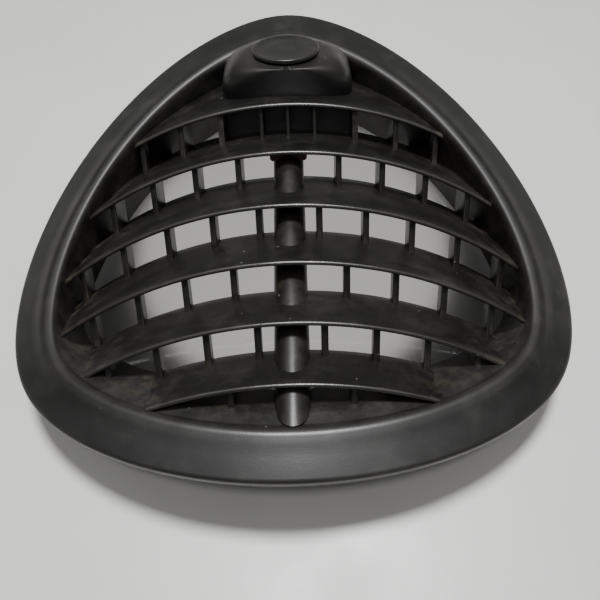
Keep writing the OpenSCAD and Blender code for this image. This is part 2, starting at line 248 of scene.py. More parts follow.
def reach(w, h, p, a):
    """Distance of an outline's tangent from the middle: half the size plus a cosine of 3a."""
    return (w + h) / 4 + (h - w) / 4 * np.cos(2 * a) + p * (np.cos(3 * a) - np.cos(a))


def reach_slope(w, h, p, a):
    """How the reach changes with the angle."""
    return -(h - w) / 2 * np.sin(2 * a) - p * (3 * np.sin(3 * a) - np.sin(a))


def outline(w, h, p, a):
    """The point where the tangent in direction a touches: reach along it, slope across it."""
    r, s = reach(w, h, p, a), reach_slope(w, h, p, a)
    return r * np.sin(a) + s * np.cos(a), r * np.cos(a) - s * np.sin(a)


class Form:
    """The grille's surfaces, worked out from the three groups of sizes."""

    edge_round = 0.8 * MM
    flange_hollow = 0.2 * MM
    crest_fall = 0.6 * MM
    trough = 2.5 * MM
    lean_from, lean_full = 0.1, 0.42  # shares of the height below the middle
    wall_shape = 0.7
    bulge_peak = 5 * MM
    bulge_span = 31 * MM
    deepening = 1.6
    least_deck = 2 * MM
    first_web = 0.65  # in web pitches from the middle
    most_webs = 7
    least_web = 3 * MM
    clip_behind = 9 * MM
    cap_lip = 3 * MM
    rim_margin = 3 * MM
    socket_wall = 2.5 * MM
    foot_roundness = 0.42
    halvings, settlings = 20, 12  # steps that find where a louvre meets the wall

    def __init__(self, scene):
        self.b, self.l, self.o = scene.grille_bezel, scene.grille_louvres, scene.grille_boss
        b, l, o = self.b, self.l, self.o
        self.along, self.square = math.cos(l.slat_angle), math.sin(l.slat_angle)
        self.deck_slope = math.tan(l.slat_angle - l.deck_angle)
        self.crest_w = b.width - 2 * b.flange_side
        self.crest_h = b.height - b.flange_top - b.flange_bottom
        self.crest_shift = (b.flange_bottom - b.flange_top) / 2
        self.wall_seat = b.crest_r - b.wall_t * 0.6
        turn = np.linspace(0, math.pi, 721)
        half = turn[: len(turn) // 2 + 1]
        self.top_x, self.top_y = self.crest(half, self.wall_seat)
        side_x, side_y = self.crest(math.pi - turn, self.wall_seat)
        self.side_y, self.side_x = side_y, side_x
        low_x, low_y = self.crest(math.pi - half, self.wall_seat)
        self.low_x = low_x
        self.low_v = self.square_height(low_y, self.crest_z(low_x))
        fronts = [self.half_width(i, self.louvre_front(i)) for i in range(1, LOUVRES + 1)]
        self.front_half = fronts
        self.rear_half = [fronts[0]] + [
            self.half_width(i, self.louvre_rear(i, 0.0)) for i in range(2, LOUVRES + 1)
        ]
        _, front_y, front_z = self.placed(0.0, self.louvre_v(1), self.louvre_front(1))
        self.boss_y = front_y + o.setback * math.cos(l.deck_angle)
        self.boss_z = front_z - o.setback * math.sin(l.deck_angle)
        self.boss_back = self.crest(np.zeros(1), b.crest_r)[1][0]
        self.cap_y = self.boss_y + self.cap_lip + o.cap_d / 2 * math.cos(o.cap_tilt)
        self.cap_z = (
            self.boss_z + o.rise - self.cap_lip + MM - o.cap_d / 2 * math.sin(o.cap_tilt)
        )

    # the bezel's lines
    def edge(self, a, inset=0.0):
        return outline(self.b.width - 2 * inset, self.b.height - 2 * inset, self.b.point, a)

    def crest(self, a, inset=0.0):
        x, y = outline(self.crest_w - 2 * inset, self.crest_h - 2 * inset, self.b.point, a)
        return x, y + self.crest_shift

    def crest_z(self, x):
        """The crest falls with the square of the distance from the middle."""
        crown = self.b.crown_drop * (x / (self.crest_w / 2)) ** 2
        return self.b.level - self.b.crest_depth - crown

    def edge_z(self, x):
        return self.crest_z(x) - self.b.flange_drop

    def lean(self, y):
        """0 above the middle and 1 near the bottom, straight in between."""
        start, full = -self.lean_from * self.b.height, -self.lean_full * self.b.height
        return np.clip((start - y) / (start - full), 0, 1)

    def wall_point(self, xy, drop):
        """The inner wall goes straight down, and along the louvres where it leans."""
        x, y = xy
        return points(
            x, y + self.lean(y) * drop * self.along / self.square, self.crest_z(x) - drop
        )

    def wall_drop(self, a):
        return mix(self.b.wall_low, self.b.wall_high, ((1 + np.cos(a)) / 2) ** self.wall_shape)

    # louvre terms: x across, v square to the louvres, w forward along them
    def placed(self, x, v, w):
        return (
            x,
            -self.b.louvre_shift + v * self.square - w * self.along,
            self.b.level + v * self.along + w * self.square,
        )

    def square_height(self, y, z):
        return (y + self.b.louvre_shift) * self.square + (z - self.b.level) * self.along

    def sag(self, x):
        """Depth of a circle's arc of the bow's radius."""
        r = self.l.bow_r
        return r - np.sqrt(r * r - x * x)

    def louvre_v(self, i):
        return self.l.gap * (MIDDLE - i)

    def louvre_front(self, i):
        v = self.louvre_v(i)
        fall = self.l.bulge * ((v - self.bulge_peak) / self.bulge_span) ** 2
        return (-fall - v * self.along) / self.square

    def louvre_depth(self, i):
        """Grows from the lowest louvre to the second."""
        share_up = ((LOUVRES - i) / (LOUVRES - 2)) ** self.deepening
        return mix(self.l.depth_low, self.l.depth_high, share_up)

    def louvre_height(self, i, x, w):
        rise = (self.louvre_front(1) - w) * self.deck_slope if i == 1 else 0.0
        return self.louvre_v(i) - self.sag(x) + rise

    def louvre_rear(self, i, x):
        """A straight rear edge, or for the top louvre the line of the bezel's wall."""
        if i > 1:
            return self.louvre_front(i) - self.louvre_depth(i) + 0.0 * np.asarray(x)
        front = self.placed(x, self.louvre_v(1) - self.sag(x), self.louvre_front(1))[1]
        run = np.maximum(self.least_deck, np.interp(np.abs(x), self.top_x, self.top_y) - front)
        return self.louvre_front(1) - run / (self.along + self.deck_slope * self.square)

    def half_width(self, i, w):
        """Where a louvre meets the wall, by halving the range that it must be in."""
        low, high = 5 * MM, self.b.width / 2
        for _ in range(self.halvings):
            x = (low + high) / 2
            _, y, z = self.placed(x, self.louvre_height(i, x, w), w)
            drop = max(0.0, self.crest_z(x) - z - self.b.crest_r)
            c = y
            for _ in range(self.settlings):
                c = (c + y - self.lean(c) * drop * self.along / self.square) / 2
            if np.interp(c, self.side_y, self.side_x) > x:
                low = x
            else:
                high = x
        return (low + high) / 2

    # the plates between two louvres
    def plate_low(self, r, x):
        wall = np.interp(np.abs(x), self.low_x, self.low_v)
        if r == LOUVRES:
            return wall - self.l.seat
        louvre = self.louvre_v(r + 1) - self.sag(x) + self.l.thickness / 2
        return np.maximum(louvre, wall) - self.l.seat

    def plate_high(self, r, x, w):
        return self.louvre_height(r, x, w) - self.l.thickness / 2 + self.l.seat

    def web_front(self, r):
        return self.louvre_front(r) - self.l.web_setback

    def web_rear(self, r, x):
        if r == LOUVRES:
            return self.web_front(r) - self.b.wall_low
        wall = (
            (self.louvre_v(r + 1) - self.sag(x)) * self.square
            - self.b.louvre_shift
            - np.interp(abs(x), self.top_x, self.top_y)
        ) / self.along
        return max(self.louvre_front(r + 1) - self.louvre_depth(r + 1), wall)

    def web_places(self, r):
        """Staggered places to the right of the middle, where a web has height to stand in."""
        start = 2 if r == 1 else 0
        first = self.first_web + (0.0 if r % 2 else 0.5)
        places = (np.arange(start, self.most_webs) + first) * self.l.web_pitch
        high = self.plate_high(r, places, self.web_front(r)) - self.plate_low(r, places)
        inside = places < self.front_half[r - 1] - self.l.web_t / 4
        return places[inside & (high > self.least_web)]

    # the boss
    def boss_foot(self, a, inset):
        """A squared-off oval, cut back to the line of the bezel's wall."""
        sin, cos = np.sin(a), np.cos(a)
        half = (self.boss_back - self.boss_y) / 2
        x = (self.o.width / 2 - inset) * np.sign(sin) * np.abs(sin) ** self.foot_roundness
        y = self.boss_y + half + (half - inset) * np.sign(cos) * np.abs(cos) ** self.foot_roundness
        wall = np.interp(np.abs(x), self.top_x, self.top_y)
        wall = wall - self.wall_seat + self.b.crest_r + self.l.seat
        return x, np.minimum(y, wall - inset)

    def on_deck(self, x, y, sink=0.0):
        """The point of the top louvre's upper face that is straight above or below (x, y)."""
        v = self.louvre_v(1) - self.sag(x) + self.l.thickness / 2
        front = self.louvre_front(1)
        w = (-self.b.louvre_shift + (v + front * self.deck_slope) * self.square - y) / (
            self.along + self.deck_slope * self.square
        )
        x, y, z = self.placed(x, v + (front - w) * self.deck_slope, w)
        return points(x, y, z - sink)

    def seat_z(self, y, below):
        """Height of the tilted plane under the cap."""
        return (
            self.cap_z
            - (self.o.cap_gap + below) / math.cos(self.o.cap_tilt)
            - (y - self.cap_y) * math.tan(self.o.cap_tilt)
        )

    def ring(self, r, a):
        """A circle in the cap's plane, seen from above."""
        return r * np.sin(a), self.cap_y + r * np.cos(a) * math.cos(self.o.cap_tilt)


# Meshes ------------------------------------------------------------------------------------


def quads(rows, cols, wrap_rows, wrap_cols):
    """The four corner numbers of each cell of a grid."""
    r = np.arange(rows if wrap_rows else rows - 1)[:, None]
    c = np.arange(cols if wrap_cols else cols - 1)[None, :]
    r2, c2 = (r + 1) % rows, (c + 1) % cols
    cells = [r * cols + c, r * cols + c2, r2 * cols + c2, r2 * cols + c]
    return np.stack(cells, axis=-1).reshape(-1, 4)


def part(grid, wrap_rows=False, masks=None):
    """A closed solid from a grid whose columns go round; open rows get an end face each.

    The faces are turned outward by the sign of the volume, which is the sum over the
    triangles of a sixth of each one's triple product.
    """
    rows, cols = grid.shape[:2]
    xyz = grid.reshape(-1, 3)
    faces = quads(rows, cols, wrap_rows, True)
    v = (xyz - xyz.mean(axis=0))[faces]
    volume = np.einsum("ij,ij->i", v[:, 0], np.cross(v[:, 1], v[:, 2])).sum()
    volume += np.einsum("ij,ij->i", v[:, 0], np.cross(v[:, 2], v[:, 3])).sum()
    faces = [f.tolist() for f in faces]
    if not wrap_rows:
        faces.append(list(range(cols))[::-1])
        faces.append(list(range((rows - 1) * cols, rows * cols)))
    if volume < 0:
        faces = [f[::-1] for f in faces]
    masks = {k: np.broadcast_to(m, (rows, cols)).ravel() for k, m in (masks or {}).items()}
    return xyz, faces, masks


# The wear mask marks edges that are partly worn and partly given a painted highlight; the grime
# mask marks brown dirt
MASKS = ("wear_and_highlight", "grime")
FINISHES = {
    "outer": ("Grained black plastic", "black_plastic"),
    # The inner finishes use the black made a little darker, as painted shade inside the grille
    "inner": ("Inner black plastic with painted shade", "black_plastic"),
    "boxed": ("Inner black plastic with painted shade", "plain_black_plastic"),
    "clip": ("Red-brown plastic", "red_brown_plastic"),
    "plain": ("Plain black plastic", "plain_black_plastic"),
    "spring": ("Spring steel", "spring_steel"),
    "foam": ("Foam", "foam"),
}


def make_piece(name, parts, finish, replaced, body=BODY, sharp=32):
    """One object from closed parts, with its masks as attributes and smooth faces."""
    if name in bpy.data.objects:
        raise RuntimeError(f"{name} is built already")
    material, slot = FINISHES[finish]
    starts = np.cumsum([0] + [len(p[0]) for p in parts])
    xyz = np.concatenate([p[0] for p in parts])
    faces = [[k + s for k in f] for p, s in zip(parts, starts) for f in p[1]]
    mesh = bpy.data.meshes.new(name)
    mesh.from_pydata(xyz.tolist(), [], faces)
    for mask in MASKS:
        values = np.concatenate([p[2].get(mask, np.zeros(len(p[0]))) for p in parts])
        layer = mesh.attributes.new(mask, "FLOAT", "POINT")
        layer.data.foreach_set("value", np.clip(values, 0, 1).astype(np.float32))
    mesh.polygons.foreach_set("use_smooth", np.ones(len(mesh.polygons), bool))
    mesh.update()
    mesh.set_sharp_from_angle(angle=math.radians(sharp))
    mesh.materials.append(bpy.data.materials[material])
    piece = bpy.data.objects.new(name, mesh)
    bpy.context.scene.collection.objects.link(piece)
    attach(piece, body)
    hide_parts(replaced)


def bezel_part(form, steps=480):
    """Lip, flange, crest and inner wall: one profile carried round the outline."""
    b = form.b
    a = np.linspace(0, 2 * math.pi, steps, endpoint=False)
    ox, oy = form.edge(a)
    cx, cy = form.crest(a)
    top, high = form.edge_z(ox), form.crest_z(cx)
    inner = form.edge(a, form.edge_round)
    near = form.crest(a, -b.crest_r * 0.7)
    roll_1, roll_2 = form.crest(a, b.crest_r * 0.6), form.crest(a, b.crest_r * 0.9)
    skirt = form.edge(a, b.flange_t)
    wall, back = form.crest(a, b.crest_r), form.crest(a, b.crest_r - b.wall_t)
    foot = form.wall_drop(a)
    profile = np.stack([
        points(ox, oy, top - b.flange_t - b.lip_h),
        points(ox, oy, top - form.edge_round),
        points(*inner, top),
        points(mix(ox, cx, 0.6), mix(oy, cy, 0.6), mix(top, high, 0.6) - form.flange_hollow),
        points(*near, high - form.crest_fall),
        points(cx, cy, high),
        points(*roll_1, form.crest_z(roll_1[0]) - b.crest_r * 0.2),
        points(*roll_2, form.crest_z(roll_2[0]) - b.crest_r * 0.6),
        form.wall_point(wall, b.crest_r * 1.2),
        form.wall_point(wall, foot),
        form.wall_point(back, foot),
        form.wall_point(back, b.flange_t + form.trough),
        points(*skirt, top - b.flange_t),
        points(*skirt, top - b.flange_t - b.lip_h),
    ], axis=1)
    cuts = np.array([0.3, 0.5, 0.8, 3.5, 2.2, 2.2, 1.2, 1.2, 2.0, 0.5, 0.5, 1.5, 0.5, 0.3]) * MM
    grid = softened(profile, cuts)
    # Wear on the outer edge, crest and rolled edges: partly real wear, partly a painted highlight
    # along the crest
    wear_and_highlight = corner_mask([0.1, 0.35, 0.3, 0, 0.25, 0.6, 0.5, 0.1, 0, 0, 0, 0, 0, 0], steps)
    down = np.clip((form.crest_z(grid[..., 0]) - grid[..., 2]) / (8 * MM), 0, 1)
    inside = np.hypot(grid[..., 0], grid[..., 1]) < np.hypot(cx, cy)[:, None] - b.crest_r * 0.5
    return part(grid, True, {"wear_and_highlight": wear_and_highlight, "grime": down * inside * 0.8})


def louvre_part(form, i, steps=120):
    """A bowed slat: a profile with a round nose and rear, carried across from wall to wall.

    Each profile point is a share of the depth plus a part of the thickness behind the
    front edge, and a height off the slat's middle surface, taken square to the bow.
    """
    h = form.l.thickness / 2
    arc = np.linspace(math.pi / 2, -math.pi / 2, 11)
    rear = np.linspace(-math.pi / 2, math.pi / 2, 5)
    flat = np.linspace(0, 1, 8)[1:-1]
    shares = np.concatenate([np.zeros(11), flat, np.ones(5), flat[::-1]])
    extra = np.concatenate(
        [h * (1 - np.cos(arc)), h * (1 - 2 * flat), -h * (1 - np.cos(rear)),
         h * (1 - 2 * flat[::-1])]
    )
    off = np.concatenate([h * np.sin(arc), -h + 0 * flat, h * np.sin(rear), h + 0 * flat])
    # The nose gets the most wear: partly real wear, partly a painted highlight along the nose
    wear_and_highlight = np.concatenate([0.3 + 0.7 * np.cos(arc) ** 2, 0 * flat, 0 * rear, 0 * flat])
    wear_and_highlight[0] = wear_and_highlight[len(arc) - 1] = 0.15
    t = np.linspace(1, -1, steps + 1)[:, None]
    front_half, rear_half = form.front_half[i - 1], form.rear_half[i - 1]
    front = form.louvre_front(i)
    run = front - form.louvre_rear(i, t * front_half)
    behind = shares * run + extra
    forward = 1 - behind / run
    x = mix(t * rear_half, t * front_half, forward)
    w = front - behind
    a = np.arcsin(x / form.l.bow_r)
    v = form.louvre_height(i, x, w) + off * np.cos(a)
    grid = points(*form.placed(x + off * np.sin(a), v, w))
    ends = np.abs(t) ** 9 + 0.35 * np.clip(behind / run - 0.35, 0, 1)
    return part(grid, False, {"wear_and_highlight": wear_and_highlight * (1 - 0.5 * np.abs(t) ** 6), "grime": ends})


def plate_part(form, r, x, thickness, w_rear, w_front, nose=0.7):
    """A plate between two louvres: a rounded oblong, drawn from the lower to the upper."""
    sides = np.array([[-0.5, 0], [-0.5, 1], [0.5, 1], [0.5, 0]])
    loop = np.zeros((1, 4, 3))
    loop[0, :, 0] = x + sides[:, 0] * thickness
    loop[0, :, 1] = np.where(sides[:, 1] > 0, w_front, w_rear)
    cuts = np.array([0.25, nose, nose, 0.25]) * MM
    loop = softened(loop, cuts)[0]
    lx, lw = loop[:, 0], loop[:, 1]
    low, high = form.plate_low(r, lx), form.plate_high(r, lx, lw)
    t = np.linspace(0, 1, 5)[:, None]
    grid = points(*form.placed(lx + 0 * t, mix(low, high, t), lw + 0 * t))
    # Wear on the webs' front edges: partly real wear, partly a painted highlight
    wear_and_highlight = corner_mask([0, 0.45, 0.45, 0], 5)
    return part(grid, False, {"wear_and_highlight": wear_and_highlight, "grime": 0.75 * (1 - t) ** 3})


def web_parts(form, r):
    """The webs of one row, on both sides of the middle."""
    l = form.l
    return [
        plate_part(form, r, side * x, l.web_t, form.web_rear(r, x + l.web_t / 2),
                   form.web_front(r))
        for x in form.web_places(r)
        for side in (-1, 1)
    ]


def spine_part(form):
    """A half-round bar along Y, cut square to the louvres at both ends."""
    l, b = form.l, form.b
    r = l.spine_w / 2
    centre = b.level - l.spine_depth - r
    floor = b.level - l.spine_depth - l.spine_h
    a = np.linspace(0, math.pi, 33)
    cut = 0.4 * MM
    x = np.concatenate([r * np.cos(a), [-r, cut - r, r - cut, r]])
    z = np.concatenate([centre + r * np.sin(a), [floor + cut, floor, floor, floor + cut]])
    low = form.low_v[0] - l.seat
    high = form.louvre_v(2) - l.thickness / 2 + l.seat
    t = np.linspace(0, 1, 25)[:, None]
    v = mix(low, high, t)
    y = (v - (z - b.level) * form.along) / form.square - b.louvre_shift
    # Wear along the spine's crown: partly real wear, partly a painted highlight
    wear_and_highlight = np.concatenate([0.35 * np.sin(a) ** 8, np.zeros(4)])
    return part(points(x, y, z + 0 * t), False, {"wear_and_highlight": wear_and_highlight, "grime": 0.25 + 0 * t})


def clip_part(form, tall=3.5 * MM, long=14 * MM, deep=5 * MM):
    """A saddle across the spine: an oblong with round ends, under the second louvre."""
    l = form.l
    half = math.asin(deep / long)
    a = np.linspace(-half, half, 13)
    right = np.stack([np.cos(a), np.sin(a)], axis=1) * long / 2
    loop = np.concatenate([right, -right])
    low = form.louvre_v(2) - l.thickness / 2 - tall
    shrink = np.array([0.93, 0.985, 1.0, 1.0])[:, None]
    v = low + np.array([0.0, 0.35, 0.9, 3.5])[:, None] * MM
    w = form.louvre_front(2) - form.clip_behind + loop[:, 1] * shrink
    return part(points(*form.placed(loop[:, 0] * shrink, v + 0 * w, w)), False,
                {"grime": np.full((4, 1), 0.3)})


def boss_part(form, steps=288):
    """The boss's shell, from its foot over the shoulder to the socket's hole and back inside.

    The turn is spaced so that the foot's points are even: its tangent is raised to a power. The
    shoulder goes from the foot's line to the rim's line as a quarter of an ellipse.
    """
    o = form.o
    even = np.linspace(0, 2 * math.pi, steps, endpoint=False)
    power = 1 / form.foot_roundness
    s, c = np.sin(even), np.cos(even)
    a = np.arctan2(np.sign(s) * np.abs(s) ** power, np.sign(c) * np.abs(c) ** power)
    rim_r = o.cap_d / 2 + form.rim_margin
    hole_r = o.stem_d / 2 + form.socket_wall - form.l.seat
    foot, inner = form.boss_foot(a, 0.0), form.boss_foot(a, o.wall)
    rim, inner_rim = form.ring(rim_r, a), form.ring(rim_r - o.wall, a)
    hole = form.ring(hole_r, a)

    def shoulder(start, end, below, t):
        q = 1 - math.cos(t * math.pi / 2)
        x, y = mix(start[0], end[0], q), mix(start[1], end[1], q)
        drop = below + o.shoulder * (1 - math.sin(t * math.pi / 2))
        return points(x, y, form.seat_z(y, drop))

    over = np.linspace(0, 1, 17)
    side = form.on_deck(*foot, form.l.seat)
    first = shoulder(foot, rim, 0, 0)
    rows = [side] + [mix(side, first, q) for q in (0.33, 0.67)]
    rows += [shoulder(foot, rim, 0, t) for t in over]
    rows += [
        points(*hole, form.seat_z(hole[1], 0)),
        points(*hole, form.seat_z(hole[1], o.wall)),
    ]
    rows += [shoulder(inner, inner_rim, o.wall, t) for t in (1, 0.75, 0.5, 0.25, 0)]
    rows += [form.on_deck(*inner, form.l.seat)]
    grid = np.stack(rows, axis=1)
    # Wear on the shoulder next to the rim: partly real wear, partly a painted highlight
    wear_and_highlight = np.zeros(grid.shape[1])
    wear_and_highlight[3:20] = np.interp(over, [0, 0.5, 0.85, 1], [0, 0.12, 0.5, 0.3])
    grime = np.zeros(grid.shape[1])
    grime[:3] = (0.9, 0.3, 0.05)
    return part(grid, True, {"wear_and_highlight": wear_and_highlight, "grime": grime})


def box_part(form):
    """The U-shaped wall below the boss: a plate's section carried round three sides."""
    o, l = form.o, form.l
    place = (1 + form.first_web) * l.web_pitch
    front = form.web_front(1)
    rear = front - o.box_depth
    out, inn = place + l.web_t / 2, place - l.web_t / 2
    t = np.linspace(-1, 1, 25)
    xo = np.concatenate([[-out], t * out, [out]])
    xi = np.concatenate([[-inn], t * inn, [inn]])
    wo = np.concatenate([[front], rear + 0 * t, [front]])
    wi = np.concatenate([[front], rear + l.web_t + 0 * t, [front]])
    low_o, low_i = form.plate_low(1, xo), form.plate_low(1, xi)
    high_o, high_i = form.plate_high(1, xo, wo), form.plate_high(1, xi, wi)
    grid = np.stack([
        points(*form.placed(xo, low_o, wo)), points(*form.placed(xi, low_i, wi)),
        points(*form.placed(xi, high_i, wi)), points(*form.placed(xo, high_o, wo)),
    ], axis=1)
    return part(grid, False, {"grime": np.full((1, 4), 0.5)})


def rib_parts(form):
    """Three thin ribs in the box."""
    l = form.l
    front = form.web_front(1)
    rear = front - form.o.box_depth + l.web_t - l.seat
    return [
        plate_part(form, 1, place * l.web_pitch, l.rib_t, rear, front, nose=0.4)
        for place in (-form.first_web, 0.0, form.first_web)
    ]


def cap_part(form, steps=160):
    """The cap: rings from its underside over a rounded rim to a slightly dished top."""
    o = form.o
    r, t, edge = o.cap_d / 2, o.cap_t, 0.5 * MM
    bend = np.linspace(-math.pi / 2, 0, 5)
    over = np.linspace(0, math.pi / 2, 7)
    radius = np.concatenate([
        [0.5 * MM, r * 0.5], r - edge * 0.6 + edge * 0.6 * np.cos(bend),
        r - edge + edge * np.cos(over), [r - 1.1 * MM, r - 1.8 * MM, r * 0.5, 0.5 * MM],
    ])
    height = np.concatenate([
        [0, 0], edge * 0.6 * (1 + np.sin(bend)), t - edge + edge * np.sin(over),
        t - np.array([0.02, 0.10, 0.13, 0.13]) * MM,
    ])
    a = np.linspace(0, 2 * math.pi, steps, endpoint=False)
    x = radius[:, None] * np.sin(a)
    u = radius[:, None] * np.cos(a)
    v = height[:, None] + 0 * a
    ct, st = math.cos(o.cap_tilt), math.sin(o.cap_tilt)
    grid = points(x, form.cap_y + u * ct + v * st, form.cap_z - u * st + v * ct)
    # Wear on the cap's rim: partly real wear, partly a painted highlight
    wear_and_highlight = np.zeros(len(radius))
    wear_and_highlight[7:15] = (0.2, 0.4, 0.6, 0.8, 0.8, 0.6, 0.4, 0.15)
    return part(grid, False, {"wear_and_highlight": wear_and_highlight[:, None]})


# Materials ---------------------------------------------------------------------------------


class Nodes:
    """A short way to build a node tree."""

    def __init__(self, tree):
        self.tree = tree
        self.column = 0

    def add(self, kind, **values):
        node = self.tree.nodes.new(kind)
        self.column += 1
        node.location = (self.column * 180, 0)
        for key, value in values.items():
            setattr(node, key, value)
        return node

    def join(self, source, target):
        self.tree.links.new(source, target)

    def feed(self, value, target):
        """Links a socket, or sets a number or a colour."""
        if hasattr(value, "is_linked"):
            self.join(value, target)
        else:
            target.default_value = (*value, 1.0) if isinstance(value, tuple) else value

    def noise(self, where, scale, detail, rough):
        """Cloudy noise, with its scale in clouds per metre."""
        node = self.add("ShaderNodeTexNoise")
        node.inputs["Scale"].default_value = scale
        node.inputs["Detail"].default_value = detail
        node.inputs["Roughness"].default_value = rough
        self.join(where, node.inputs["Vector"])
        return node.outputs["Fac"]

    def ramp(self, value, low, high, to_low=0.0, to_high=1.0):
        node = self.add("ShaderNodeMapRange", interpolation_type="SMOOTHSTEP")
        self.join(value, node.inputs["Value"])
        for key, number in zip(("From Min", "From Max", "To Min", "To Max"),
                               (low, high, to_low, to_high)):
            self.feed(number, node.inputs[key])
        return node.outputs["Result"]

    def maths(self, operation, a, b=None, clamp=False):
        node = self.add("ShaderNodeMath", operation=operation, use_clamp=clamp)
        for socket, value in zip(node.inputs, (a, b)):
            if value is not None:
                self.feed(value, socket)
        return node.outputs[0]

    def blend_values(self, share_of, a, b):
        """a * (1 - share) + b * share, where the share and a are sockets."""
        kept = self.maths("MULTIPLY", a, self.maths("SUBTRACT", 1.0, share_of))
        return self.maths("ADD", kept, self.maths("MULTIPLY", share_of, b))

    def blend(self, share_of, a, b):
        """Mixes two colours; the node's sockets 6, 7 and output 2 are the colour ones."""
        node = self.add("ShaderNodeMix", data_type="RGBA")
        self.feed(share_of, node.inputs["Factor"])
        self.feed(a, node.inputs[6])
        self.feed(b, node.inputs[7])
        return node.outputs[2]


def new_group(name, inputs, outputs):
    """A shader node group with named sockets, and its input and output nodes."""
    tree = bpy.data.node_groups.new(name, "ShaderNodeTree")
    for label, kind, default in inputs:
        socket = tree.interface.new_socket(label, in_out="INPUT", socket_type=kind)
        if default is not None:
            socket.default_value = default
    for label, kind in outputs:
        tree.interface.new_socket(label, in_out="OUTPUT", socket_type=kind)
    n = Nodes(tree)
    return n, n.add("NodeGroupInput").outputs, n.add("NodeGroupOutput").inputs


def build_groups():
    """Edge wear with painted highlight, grime, dust and moulded grain, as groups that the materials
    share.
    """
    vector, number = "NodeSocketVector", "NodeSocketFloat"

    # Edge wear: the masked edges are partly worn and partly lit by a painted highlight
    n, i, o = new_group(
        "Edge wear and painted highlight",
        [("Position", vector, None), ("Mask", number, 0.0), ("Amount", number, 0.5)],
        [("Worn", number)],
    )
    broad = n.noise(i["Position"], 95.0, 4.0, 0.6)
    fine = n.noise(i["Position"], 1400.0, 2.0, 0.6)
    both = n.maths("ADD", n.maths("MULTIPLY", broad, 0.7), n.maths("MULTIPLY", fine, 0.3))
    patchy = n.ramp(both, 0.30, 0.62)
    worn_and_highlit = n.maths("MULTIPLY", n.maths("MULTIPLY", i["Mask"], i["Amount"]),
                   n.maths("ADD", n.maths("MULTIPLY", patchy, 0.75), 0.45), clamp=True)
    n.join(worn_and_highlit, o["Worn"])

    n, i, o = new_group(
        "Grime",
        [("Position", vector, None), ("Mask", number, 0.0), ("Amount", number, 0.5)],
        [("Dirty", number)],
    )
    cloud = n.noise(i["Position"], 160.0, 5.0, 0.7)
    dirty = n.maths("MULTIPLY", n.maths("MULTIPLY", n.ramp(cloud, 0.42, 0.68), i["Mask"]),
                    i["Amount"], clamp=True)
    n.join(dirty, o["Dirty"])

    n, i, o = new_group(
        "Dust",
        [("Position", vector, None), ("Upward", number, 1.0), ("Amount", number, 0.3)],
        [("Dusty", number)],
    )
    cells = n.add("ShaderNodeTexVoronoi", feature="F1")
    cells.inputs["Scale"].default_value = 260.0
    n.join(i["Position"], cells.inputs["Vector"])
    apart = n.add("ShaderNodeSeparateColor")
    n.join(cells.outputs["Color"], apart.inputs[0])
    size = n.ramp(apart.outputs[0], 0.86, 1.0, 0.0, 0.10)
    specks = n.maths("MULTIPLY", n.maths("LESS_THAN", cells.outputs["Distance"], size), 0.75)
    film = n.maths("MULTIPLY", n.ramp(n.noise(i["Position"], 70.0, 5.0, 0.65), 0.45, 0.8), 0.10)
    dusty = n.maths("MULTIPLY", n.maths("ADD", specks, film),
                    n.maths("MULTIPLY", i["Upward"], i["Amount"]), clamp=True)
    n.join(dusty, o["Dusty"])

    n, i, o = new_group(
        "Moulded grain",
        [("Position", vector, None), ("Scale", number, 1500.0), ("Worn", number, 0.0)],
        [("Height", number), ("Roughness", number)],
    )
    pebbles = n.add("ShaderNodeTexVoronoi", feature="SMOOTH_F1")
    n.join(i["Position"], pebbles.inputs["Vector"])
    n.join(i["Scale"], pebbles.inputs["Scale"])
    ripple = n.noise(i["Position"], 420.0, 2.0, 0.5)
    height = n.maths("ADD", n.maths("MULTIPLY", pebbles.outputs["Distance"], 0.8),
                     n.maths("MULTIPLY", ripple, 0.25))
    flat = n.maths("SUBTRACT", 1.0, n.maths("MULTIPLY", i["Worn"], 0.6), clamp=True)
    n.join(n.maths("MULTIPLY", height, flat), o["Height"])
    uneven = n.ramp(n.noise(i["Position"], 55.0, 4.0, 0.6), 0.3, 0.7, -0.05, 0.06)
    n.join(uneven, o["Roughness"])


def placed_group(n, name, **inputs):
    """Puts a group in a material, linking or setting its inputs."""
    node = n.add("ShaderNodeGroup", node_tree=bpy.data.node_groups[name])
    for label, value in inputs.items():
        n.feed(value, node.inputs[label])
    return node.outputs


def shaded(base, times):
    """A colour made darker or lighter by a number."""
    return tuple(times * c for c in base)


def new_material(name):
    """A material's nodes, its shader's inputs and the object coordinates."""
    material = bpy.data.materials.new(name)
    material.use_nodes = True
    n = Nodes(material.node_tree)
    shader = material.node_tree.nodes["Principled BSDF"]
    where = n.add("ShaderNodeTexCoord").outputs["Object"]
    return n, shader.inputs, where


def attribute(n, name):
    """A mask that is stored at the mesh's points."""
    return n.add("ShaderNodeAttribute", attribute_name=name).outputs["Fac"]


def bumped(n, shader, height, distance):
    """A bump of the given depth in metres."""
    node = n.add("ShaderNodeBump")
    node.inputs["Strength"].default_value = 1.0
    node.inputs["Distance"].default_value = distance
    n.join(height, node.inputs["Height"])
    n.join(node.outputs["Normal"], shader["Normal"])


